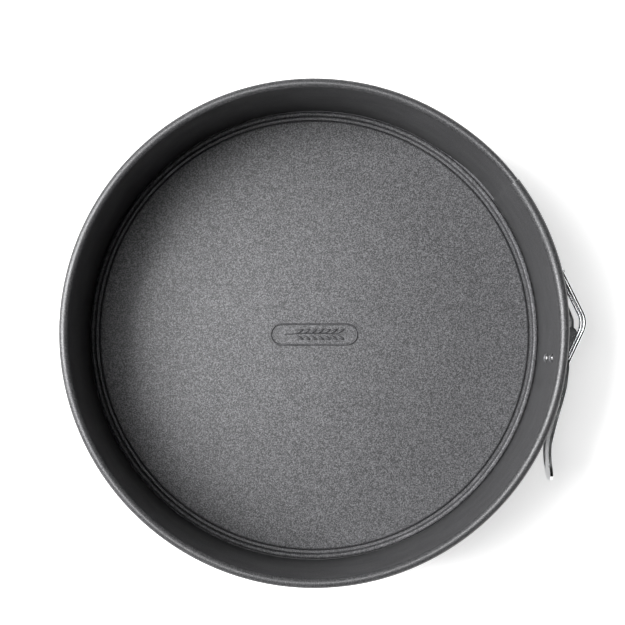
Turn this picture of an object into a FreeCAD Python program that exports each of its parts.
import FreeCAD, Part
import math
import os

from FreeCAD import Placement, Rotation, Vector

# Springform pan: a split steel band with a rolled bead, a loose base plate and an over-centre wire clasp.
# Frame: origin on the pan's axis at the plane it stands on, +Z up, +X towards the clasp's pivot.
# Angles in plan are measured from +X, anticlockwise seen from above.

doc = FreeCAD.newDocument("springform_pan")

# ---------------------------------------------------------------- driving dimensions (mm, degrees)
DIMENSIONS = {
    # band
    "pan_height": 68.0,
    "wall_radius": 96.1,          # inner face of the wall
    "sheet": 0.6,
    "bead_radius": 1.95,          # outside radius of the rolled bead
    "bead_turn": 290.0,
    "channel_depth": 1.4,         # how far the foot channel stands outside the wall
    "channel_top": 2.2,
    "lip_width": 0.5,             # how far the foot's lip reaches inside the wall
    "seam_angle": 36.8,           # where the over-end's tongue stops
    "seam_gap": 0.3,
    "under_end_angle": 11.5,      # where the under-end stops, outside the tongue
    "joggle_angle": 1.2,
    "layer_gap": 0.3,
    "under_top": 63.5,            # top of the under-end where it runs below the bead
    "far_gap": 0.12,              # gap between the two band parts at the far side, degrees
    # base plate
    "base_radius": 97.0,
    "base_sheet": 0.8,
    "floor_height": 3.4,
    # clasp
    "clasp_height": 41.4,         # mid height of the clasp
    "pivot_x": 103.3,
    "tail_x": 100.6,              # where the bail's ends turn in the lever
    "tail_y": -15.7,
    "hook_x": 98.7,               # the bail's far bar, behind the lug
    "hook_y": 27.6,
    "hump_x": 110.1,              # corner of the bail's two legs, before rounding
    "hump_y": 4.35,
    "hump_radius": 8.5,
    "wire_radius": 0.9,
    "rail_height": 4.2,           # bail's rails above and below mid height
    "wire_bend": 1.7,
    "wire_tail": 8.6,
    "running_gap": 0.06,
    "lever_height": 16.5,
    "lever_sheet": 1.2,
    "eye_radius": 2.3,            # round end of the lever's arms
    "web_start": -22.0,           # the handle's web begins here
    "web_start_x": 100.95,
    "handle_bend_x": 94.9,        # corner of the handle's centre line, before rounding
    "handle_bend_y": -46.0,
    "handle_bend_radius": 22.0,
    "handle_tip_x": 95.6,
    "handle_tip_y": -59.4,
    "tip_corner_radius": 5.5,
    "pin_radius": 1.0,
    "pin_head_radius": 1.6,
    "pin_head": 0.6,
    "bracket_sheet": 1.0,
    "tongue_height": 13.4,
    "fold_y": 13.4,               # where the tongue folds back on itself
    "fold_out": 4.45,             # how far the fold reaches outwards
    "pad_height": 22.0,
    "pad_start": -10.5,
    "pad_end": -2.5,
    "tongue_end": 6.6,
    "rivet_angle": -6.0,
    "rivet_offset": 8.25,         # rivets above and below mid height
    "rivet_radius": 1.25,
    "rivet_dome_radius": 2.0,
    "rivet_dome": 1.1,
    "strike_start": 12.3,
    "strike_end": 18.2,
    "strike_sheet": 0.9,
    "strike_height": 12.0,
    "lug_angle": 13.9,
    "lug_sheet": 1.2,
    "lug_height": 6.0,
    "lug_top": 104.6,
}

sheet = doc.addObject("Spreadsheet::Sheet", "dims")
for row, (alias, value) in enumerate(DIMENSIONS.items(), start=1):
    sheet.set(f"A{row}", alias.replace("_", " "))
    sheet.set(f"B{row}", str(value))
    sheet.setAlias(f"B{row}", alias)
doc.recompute()


def dim(alias):
    """Value of a named cell of the sheet."""
    return float(sheet.get(alias))


CLASP_Z = dim("clasp_height")
PIVOT = Vector(dim("pivot_x"), 0, 0)
TAIL = Vector(dim("tail_x"), dim("tail_y"), 0)
HOOK = Vector(dim("hook_x"), dim("hook_y"), 0)
HUMP = Vector(dim("hump_x"), dim("hump_y"), 0)
WALL_IN = dim("wall_radius")
WALL_OUT = WALL_IN + dim("sheet")


# ---------------------------------------------------------------- outlines
def polar(radius, degrees, z=0.0):
    angle = math.radians(degrees)
    return Vector(radius * math.cos(angle), radius * math.sin(angle), z)


def arc_between(centre, radius, start, end):
    """Anticlockwise arc, angles in degrees."""
    circle = Part.Circle(centre, Vector(0, 0, 1), radius)
    return Part.ArcOfCircle(circle, math.radians(start), math.radians(end))


def closed_outline(points):
    """Straight segments through the points and back to the first."""
    return [Part.LineSegment(a, b) for a, b in zip(points, points[1:] + points[:1])]


def rounded_path(points, radii):
    """Centre line through the points: lines and tangent arcs, each as (kind, data)."""
    pieces = []
    start = points[0]
    for before, corner, after, radius in zip(points, points[1:], points[2:], radii):
        d_in = (corner - before).normalize()
        d_out = (after - corner).normalize()
        turn = d_in.getAngle(d_out)
        reach = radius * math.tan(turn / 2)
        arc_start = corner - d_in * reach
        arc_end = corner + d_out * reach
        side = 1.0 if d_in.cross(d_out).z > 0 else -1.0
        normal = Vector(-d_in.y, d_in.x, 0) * side
        pieces.append(("line", start, arc_start))
        pieces.append(("arc", arc_start + normal * radius, radius, arc_start, arc_end, side))
        start = arc_end
    pieces.append(("line", start, points[-1]))
    return pieces


def offset_side(pieces, distance):
    """The path moved to its left by the distance, as sketch geometry and its two end points."""
    geometry = []
    ends = []
    for piece in pieces:
        if piece[0] == "line":
            _, a, b = piece
            direction = (b - a).normalize()
            left = Vector(-direction.y, direction.x, 0) * distance
            geometry.append(Part.LineSegment(a + left, b + left))
            ends += [a + left, b + left]
        else:
            _, centre, radius, a, b, side = piece
            new_radius = radius - side * distance
            start, end = (a - centre), (b - centre)
            if side < 0:
                start, end = end, start
            angles = [math.degrees(math.atan2(v.y, v.x)) for v in (start, end)]
            if angles[1] < angles[0]:
                angles[1] += 360
            geometry.append(arc_between(centre, new_radius, *angles))
    return geometry, ends[0], ends[-1]


def strip_outline(points, radii, thickness):
    """Closed outline of a bent strip about its centre line."""
    pieces = rounded_path(points, radii)
    left, left_start, left_end = offset_side(pieces, thickness / 2)
    right, right_start, right_end = offset_side(pieces, -thickness / 2)
    caps = [Part.LineSegment(left_end, right_end), Part.LineSegment(right_start, left_start)]
    return left + right + caps


# ---------------------------------------------------------------- document helpers
def new_body(name):
    body = doc.addObject("PartDesign::Body", name)
    body.Label = name
    body.Placement = Placement()
    return body


def origin_plane(body, role):
    return next(f for f in body.Origin.OriginFeatures if f.Role == role)


def add_sketch(body, name, role, geometry, offset=Placement()):
    sketch = body.newObject("Sketcher::SketchObject", name)
    sketch.AttachmentSupport = [(origin_plane(body, role), "")]
    sketch.MapMode = "FlatFace"
    sketch.AttachmentOffset = offset
    sketch.addGeometry(geometry, False)
    return sketch


def revolve(body, name, geometry, start_angle, sweep_value, sweep_expression=None):
    """Turn a radius/height outline about Z from one plan angle by a sweep."""
    turned = Placement(Vector(), Rotation(Vector(0, 1, 0), start_angle))
    sketch = add_sketch(body, name + "_outline", "XZ_Plane", geometry, turned)
    feature = body.newObject("PartDesign::Revolution", name)
    feature.Profile = sketch
    feature.ReferenceAxis = (sketch, ["V_Axis"])
    feature.Angle = sweep_value
    if sweep_expression:
        feature.setExpression("Angle", sweep_expression)
    doc.recompute()
    return feature


def pad_plan(body, name, geometry, low, height_expression):
    """Raise a plan outline from height low by a length bound to the sheet."""
    raised = Placement(Vector(0, 0, low), Rotation())
    sketch = add_sketch(body, name + "_outline", "XY_Plane", geometry, raised)
    feature = body.newObject("PartDesign::Pad", name)
    feature.Profile = sketch
    feature.setExpression("Length", height_expression)
    doc.recompute()
    return feature


def pocket_round(body, name, centre, radius, low, depth_expression):
    """Round hole along Z, cut upwards from height low."""
    circle = [Part.Circle(centre, Vector(0, 0, 1), radius)]
    raised = Placement(Vector(0, 0, low), Rotation())
    sketch = add_sketch(body, name + "_outline", "XY_Plane", circle, raised)
    before = body.Shape.Volume
    feature = body.newObject("PartDesign::Pocket", name)
    feature.Profile = sketch
    feature.setExpression("Length", depth_expression)
    feature.Reversed = True
    doc.recompute()
    assert body.Shape.Volume < before - 0.1, name + " cuts nothing"
    return feature


def cylinder(name, radius_expression, height_expression, placement):
    part = doc.addObject("Part::Cylinder", name)
    part.setExpression("Radius", radius_expression)
    part.setExpression("Height", height_expression)
    part.Placement = placement
    return part


def combine(kind, name, shapes, label=None):
    """Part::MultiFuse of a list, or Part::Cut of base and tool."""
    part = doc.addObject(kind, name)
    if kind == "Part::Cut":
        part.Base, part.Tool = shapes
    else:
        part.Shapes = shapes
    part.Label = label or name
    return part


# ---------------------------------------------------------------- band profiles (radius, height)
def full_profile():
    """Wall with the rolled bead at the top and the base's channel at the foot."""
    height = dim("pan_height")
    bead = dim("bead_radius")
    thin = dim("sheet")
    centre = Vector(WALL_IN + bead, height - bead, 0)
    end_angle = 180.0 - dim("bead_turn")
    outer_end = centre + polar(bead, end_angle)
    inner_end = centre + polar(bead - thin, end_angle)
    top = dim("channel_top")
    channel_in = WALL_IN + dim("channel_depth")
    foot = [
        Vector(WALL_IN, centre.y, 0),
        Vector(WALL_IN, top, 0),
        Vector(channel_in, top, 0),
        Vector(channel_in, thin, 0),
        Vector(WALL_IN - dim("lip_width"), thin, 0),
        Vector(WALL_IN - dim("lip_width"), 0, 0),
        Vector(channel_in + thin, 0, 0),
        Vector(channel_in + thin, top + thin, 0),
        Vector(WALL_OUT, top + thin, 0),
        Vector(WALL_OUT, centre.y, 0),
    ]
    outline = [Part.LineSegment(a, b) for a, b in zip(foot, foot[1:])]
    outline.append(arc_between(centre, bead - thin, end_angle, 180.0))
    outline.append(Part.LineSegment(inner_end, outer_end))
    outline.append(arc_between(centre, bead, end_angle, 180.0))
    return outline


def outer_layer_profile():
    """Under-end where it lies outside the tongue: no bead and no lip."""
    thin = dim("sheet")
    gap = dim("layer_gap")
    inner = WALL_OUT + gap
    under = dim("channel_top") + thin + gap
    channel_in = WALL_IN + dim("channel_depth") + thin + gap
    return closed_outline([
        Vector(inner, dim("under_top"), 0),
        Vector(inner, under, 0),
        Vector(channel_in, under, 0),
        Vector(channel_in, 0, 0),
        Vector(channel_in + thin, 0, 0),
        Vector(channel_in + thin, under + thin, 0),
        Vector(inner + thin, under + thin, 0),
        Vector(inner + thin, dim("under_top"), 0),
    ])


def box_profile(inner, outer, low, high):
    return closed_outline([
        Vector(inner, low, 0),
        Vector(outer, low, 0),
        Vector(outer, high, 0),
        Vector(inner, high, 0),
    ])


# ---------------------------------------------------------------- rivet holes, shared by wall and bracket
def radial_placement(radius, degrees, z):
    """Local Z points outwards along the radius."""
    outwards = Rotation(Vector(0, 0, 1), polar(1, degrees))
    return Placement(polar(radius, degrees, z), outwards)


def rivet_hole_tools(name):
    tools = []
    for index, side in enumerate((1, -1)):
        hole = doc.addObject("Part::Cylinder", f"{name}_{index + 1}")
        hole.setExpression("Radius", "dims.rivet_radius + 0.02")
        hole.Height = 6
        height = CLASP_Z + side * dim("rivet_offset")
        hole.Placement = radial_placement(WALL_IN - 3, dim("rivet_angle"), height)
        tools.append(hole)
    return combine("Part::MultiFuse", name, tools)


# ---------------------------------------------------------------- band, over-end
over_body = new_body("over_end_strip")
revolve(over_body, "over_end_sweep", full_profile(), 180.0, 180.0 + dim("seam_angle"),
        "180 + dims.seam_angle")
band_over_end = combine("Part::Cut", "band_over_end", (over_body, rivet_hole_tools("wall_holes")))

# ---------------------------------------------------------------- band, under-end
under_body = new_body("band_under_end")
bead_end = dim("seam_angle") + dim("seam_gap")
joggle_end = bead_end + dim("joggle_angle")
revolve(under_body, "under_end_main", full_profile(), bead_end, 180.0 - dim("far_gap") - bead_end,
        "180 - dims.far_gap - dims.seam_angle - dims.seam_gap")
revolve(under_body, "under_end_joggle",
        box_profile(WALL_OUT - 0.2, WALL_OUT + dim("layer_gap") + 0.2, 4.0, dim("under_top") - 0.5),
        bead_end, dim("joggle_angle"), "dims.joggle_angle")
revolve(under_body, "under_end_layer", outer_layer_profile(), dim("under_end_angle"),
        joggle_end - dim("under_end_angle"),
        "dims.seam_angle + dims.seam_gap + dims.joggle_angle - dims.under_end_angle")

# ---------------------------------------------------------------- base plate
base_body = new_body("base_plate")
FLOOR = dim("floor_height")
FLOOR_UNDER = FLOOR - dim("base_sheet")
FLANGE_TOP = 2 * dim("base_sheet")
FLANGE_UNDER = dim("base_sheet")
BASE_RADIUS = dim("base_radius")
base_outline = closed_outline([
    Vector(0, FLOOR, 0),
    Vector(BASE_RADIUS - 5.3, FLOOR, 0),
    Vector(BASE_RADIUS - 4.7, FLOOR - 0.6, 0),
    Vector(BASE_RADIUS - 4.5, FLOOR - 1.6, 0),
    Vector(BASE_RADIUS - 3.3, FLOOR - 1.6, 0),
    Vector(BASE_RADIUS - 2.9, FLOOR - 0.1, 0),
    Vector(BASE_RADIUS - 2.2, FLOOR + 0.2, 0),
    Vector(BASE_RADIUS - 1.6, FLOOR - 0.1, 0),
    Vector(BASE_RADIUS - 1.3, FLANGE_TOP, 0),
    Vector(BASE_RADIUS, FLANGE_TOP, 0),
    Vector(BASE_RADIUS, FLANGE_UNDER, 0),
    Vector(BASE_RADIUS - 1.9, FLANGE_UNDER, 0),
    Vector(BASE_RADIUS - 2.0, FLOOR_UNDER, 0),
    Vector(BASE_RADIUS - 2.4, FLOOR_UNDER, 0),
    Vector(BASE_RADIUS - 2.7, FLANGE_UNDER + 0.2, 0),
    Vector(BASE_RADIUS - 5.2, FLANGE_UNDER + 0.2, 0),
    Vector(BASE_RADIUS - 5.6, FLOOR_UNDER, 0),
    Vector(0, FLOOR_UNDER, 0),
])
revolve(base_body, "base_turn", base_outline, 0.0, 360.0)

# ---------------------------------------------------------------- strike plate with its lug
strike_body = new_body("strike_plate")
STRIKE_IN = WALL_OUT + dim("layer_gap") + dim("sheet") + 0.03
STRIKE_OUT = STRIKE_IN + dim("strike_sheet")
half_strike = dim("strike_height") / 2
revolve(strike_body, "strike_pad",
        box_profile(STRIKE_IN, STRIKE_OUT, CLASP_Z - half_strike, CLASP_Z + half_strike),
        dim("strike_start"), dim("strike_end") - dim("strike_start"), "dims.strike_end - dims.strike_start")
lug_out = polar(1, dim("lug_angle"))
lug_side = polar(1, dim("lug_angle") + 90) * (dim("lug_sheet") / 2)
lug_foot = lug_out * (STRIKE_IN + 0.4)
lug_tip = lug_out * dim("lug_top")
pad_plan(strike_body, "lug",
         closed_outline([lug_foot - lug_side, lug_tip - lug_side, lug_tip + lug_side, lug_foot + lug_side]),
         CLASP_Z - dim("lug_height") / 2, "dims.lug_height")

# ---------------------------------------------------------------- clasp bracket
bracket_body = new_body("bracket_sheet_part")
PLATE_IN = WALL_OUT + 0.03
PLATE_OUT = PLATE_IN + dim("bracket_sheet")
PLATE_MID = (PLATE_IN + PLATE_OUT) / 2
half_pad = dim("pad_height") / 2
half_tongue = dim("tongue_height") / 2
revolve(bracket_body, "rivet_pad", box_profile(PLATE_IN, PLATE_OUT, CLASP_Z - half_pad, CLASP_Z + half_pad),
        dim("pad_start"), dim("pad_end") - dim("pad_start"), "dims.pad_end - dims.pad_start")
revolve(bracket_body, "wall_tongue",
        box_profile(PLATE_IN, PLATE_OUT, CLASP_Z - half_tongue, CLASP_Z + half_tongue),
        dim("pad_end") - 0.5, 7.0)
fold_points = [
    polar(PLATE_MID, 3.0),
    Vector(WALL_IN + 0.45, dim("fold_y"), 0),
    Vector(WALL_IN + 0.45 + dim("fold_out"), dim("fold_y"), 0),
    Vector(PIVOT.x + 0.8, 5.2, 0),
    Vector(PIVOT.x + 0.8, 1.3, 0),
]
pad_plan(bracket_body, "folded_tongue", strip_outline(fold_points, (1.8, 2.2, 2.5), dim("bracket_sheet")),
         CLASP_Z - half_tongue, "dims.tongue_height")
pad_plan(bracket_body, "knuckle",
         [Part.Circle(PIVOT, Vector(0, 0, 1), dim("pin_radius") + dim("bracket_sheet") + 0.05)],
         CLASP_Z - half_tongue, "dims.tongue_height")
pocket_round(bracket_body, "knuckle_bore", PIVOT, dim("pin_radius") + 0.05, CLASP_Z - half_tongue - 1,
             "dims.tongue_height + 2")
clasp_bracket = combine("Part::Cut", "clasp_bracket", (bracket_body, rivet_hole_tools("bracket_holes")))


# ---------------------------------------------------------------- rivets through the wall and bracket
def rivet(index, side):
    """Domed head inside the wall, shank, and a formed head outside the bracket."""
    z = CLASP_Z + side * dim("rivet_offset")
    angle = dim("rivet_angle")
    shank = cylinder(f"rivet_shank_{index}", "dims.rivet_radius", "dims.sheet + dims.bracket_sheet + 1.2",
                     radial_placement(WALL_IN - 0.5, angle, z))
    dome_radius = dim("rivet_dome_radius")
    rise = dim("rivet_dome")
    ball_radius = (dome_radius ** 2 + rise ** 2) / (2 * rise)
    ball = doc.addObject("Part::Sphere", f"rivet_ball_{index}")
    ball.Radius = ball_radius
    ball.Placement = radial_placement(WALL_IN - 0.15 + ball_radius - rise, angle, z)
    cap = doc.addObject("Part::Cylinder", f"rivet_cap_{index}")
    cap.Radius = dome_radius + 1
    cap.Height = rise + 1
    cap.Placement = radial_placement(WALL_IN - 0.15 - rise - 1, angle, z)
    dome = doc.addObject("Part::Common", f"rivet_dome_{index}")
    dome.Base, dome.Tool = ball, cap
    head = cylinder(f"rivet_head_{index}", "dims.rivet_radius + 0.5", "0.7 mm",
                    radial_placement(PLATE_OUT + 0.03, angle, z))
    return combine("Part::MultiFuse", f"rivet_{index}", [shank, dome, head])


rivets = [rivet(index, side) for index, side in enumerate((1, -1), start=1)]
bracket_rivets = doc.addObject("Part::Compound", "bracket_rivets")
bracket_rivets.Links = rivets

# ---------------------------------------------------------------- pivot pin
half_lever = dim("lever_height") / 2
pin_reach = half_lever + 0.15
pin_shank = cylinder("pin_shank", "dims.pin_radius", "dims.lever_height + 0.3 + 2 * dims.pin_head",
                     Placement(PIVOT + Vector(0, 0, CLASP_Z - pin_reach - dim("pin_head")), Rotation()))
pin_heads = [cylinder(f"pin_head_{index}", "dims.pin_head_radius", "dims.pin_head",
                      Placement(PIVOT + Vector(0, 0, CLASP_Z + z), Rotation()))
             for index, z in enumerate((pin_reach, -pin_reach - dim("pin_head")), start=1)]
pivot_pin = combine("Part::MultiFuse", "pivot_pin", [pin_shank] + pin_heads)

# ---------------------------------------------------------------- lever
# The handle's web runs in towards the pan, then bends and follows its side to the tip.
lever_body = new_body("clasp_lever")
handle_points = [
    Vector(dim("web_start_x"), dim("web_start"), 0),
    Vector(dim("handle_bend_x"), dim("handle_bend_y"), 0),
    Vector(dim("handle_tip_x"), dim("handle_tip_y"), 0),
]
handle_outline = strip_outline(handle_points, (dim("handle_bend_radius"),), dim("lever_sheet"))
pad_plan(lever_body, "handle", handle_outline,
         CLASP_Z - half_lever, "dims.lever_height")
arm_outline_points = [
    PIVOT + polar(dim("eye_radius"), 190),
    Vector(98.5, -13.0, 0),
    Vector(98.3, -19.0, 0),
    Vector(99.2, -28.0, 0),
    Vector(99.9, -28.2, 0),
    Vector(101.6, -21.6, 0),
    Vector(102.5, -14.0, 0),
    Vector(102.3, -8.5, 0),
    Vector(103.4, -4.9, 0),
    PIVOT + polar(dim("eye_radius"), -15),
]
arm_outline = closed_outline(arm_outline_points)[:-1] + [arc_between(PIVOT, dim("eye_radius"), -15, 190)]
for arm_name, arm_low in (("upper_arm", half_lever - dim("lever_sheet")), ("lower_arm", -half_lever)):
    pad_plan(lever_body, arm_name, arm_outline, CLASP_Z + arm_low, "dims.lever_sheet")
pocket_round(lever_body, "pivot_holes", PIVOT, dim("pin_radius") + dim("running_gap"),
             CLASP_Z - half_lever - 1, "dims.lever_height + 2")
pocket_round(lever_body, "bail_holes", TAIL, dim("wire_radius") + dim("running_gap"),
             CLASP_Z - half_lever - 1, "dims.lever_height + 2")
ridge_centre = Vector(dim("handle_bend_x") + 0.45, -53.8, 0)
pad_plan(lever_body, "grip_ridge", [Part.Circle(ridge_centre, Vector(0, 0, 1), 0.75)], CLASP_Z - 4.5, "9 mm")


def tip_corners(shape):
    """The handle tip's two corner edges, which run through the sheet."""
    names = []
    for index, edge in enumerate(shape.Edges, start=1):
        centre = edge.CenterOfMass
        at_tip = centre.y < dim("handle_tip_y") + 0.2
        at_corner = abs(abs(centre.z - CLASP_Z) - half_lever) < 0.01
        if at_tip and at_corner:
            names.append(f"Edge{index}")
    return names


tip_round = lever_body.newObject("PartDesign::Fillet", "tip_round")
tip_round.Base = (lever_body.getObject("grip_ridge"), tip_corners(lever_body.Shape))
tip_round.setExpression("Radius", "dims.tip_corner_radius")
doc.recompute()


# ---------------------------------------------------------------- wire bail
def bend(corner, before, after, radius):
    """Tangent points and mid point of a bend at a corner."""
    d_in = (corner - before).normalize()
    d_out = (after - corner).normalize()
    turn = d_in.getAngle(d_out)
    reach = radius * math.tan(turn / 2)
    start = corner - d_in * reach
    end = corner + d_out * reach
    towards = (d_out - d_in).normalize()
    middle = corner + towards * (radius / math.cos(turn / 2) - radius)
    return start, middle, end


def bail_path():
    """One wire: tail, lower leg, hump, upper leg, hook bar and back along the other rail."""
    rail = Vector(0, 0, CLASP_Z + dim("rail_height"))
    rail_low = Vector(0, 0, CLASP_Z - dim("rail_height"))
    corners = [
        TAIL + Vector(0, 0, CLASP_Z + dim("wire_tail")),
        TAIL + rail, HUMP + rail, HOOK + rail,
        HOOK + rail_low, HUMP + rail_low, TAIL + rail_low,
        TAIL + Vector(0, 0, CLASP_Z - dim("wire_tail")),
    ]
    tight, wide = dim("wire_bend"), dim("hump_radius")
    radii = (tight, wide, tight, tight, wide, tight)
    edges = []
    start = corners[0]
    for before, corner, after, radius in zip(corners, corners[1:], corners[2:], radii):
        first, middle, last = bend(corner, before, after, radius)
        edges.append(Part.LineSegment(start, first).toShape())
        edges.append(Part.Arc(first, middle, last).toShape())
        start = last
    edges.append(Part.LineSegment(start, corners[-1]).toShape())
    return Part.Wire(edges)


spine = doc.addObject("Part::Feature", "bail_spine")
spine.Shape = bail_path()
wire_section = doc.addObject("Part::Circle", "wire_section")
wire_section.setExpression("Radius", "dims.wire_radius")
wire_section.Placement = Placement(TAIL + Vector(0, 0, CLASP_Z + dim("wire_tail")), Rotation())
wire_bail = doc.addObject("Part::Sweep", "wire_bail")
wire_bail.Sections = [wire_section]
wire_bail.Spine = (spine, [f"Edge{i + 1}" for i in range(len(spine.Shape.Edges))])
wire_bail.Solid = True
wire_bail.Frenet = False
wire_bail.Label = "wire_bail"

# ---------------------------------------------------------------- checks and export
doc.recompute()
for item in doc.Objects:
    assert not {"Invalid", "Error"} & set(item.State), f"{item.Name} failed: {item.State}"

NODES = (band_over_end, under_body, base_body, strike_body, clasp_bracket, bracket_rivets, pivot_pin,
         lever_body, wire_bail)
os.makedirs("parts", exist_ok=True)
for node in NODES:
    assert not node.Shape.isNull() and node.Shape.isValid(), f"{node.Label} has no valid shape"
    node.Shape.exportStep(f"parts/{node.Label}.step")
    box = node.Shape.BoundBox
    volume = node.Shape.Volume / 1000
    print(f"{node.Label:16s} solids {len(node.Shape.Solids)}  volume {volume:8.3f} cm3  "
          f"size {box.XLength:6.1f} {box.YLength:6.1f} {box.ZLength:6.1f} mm")
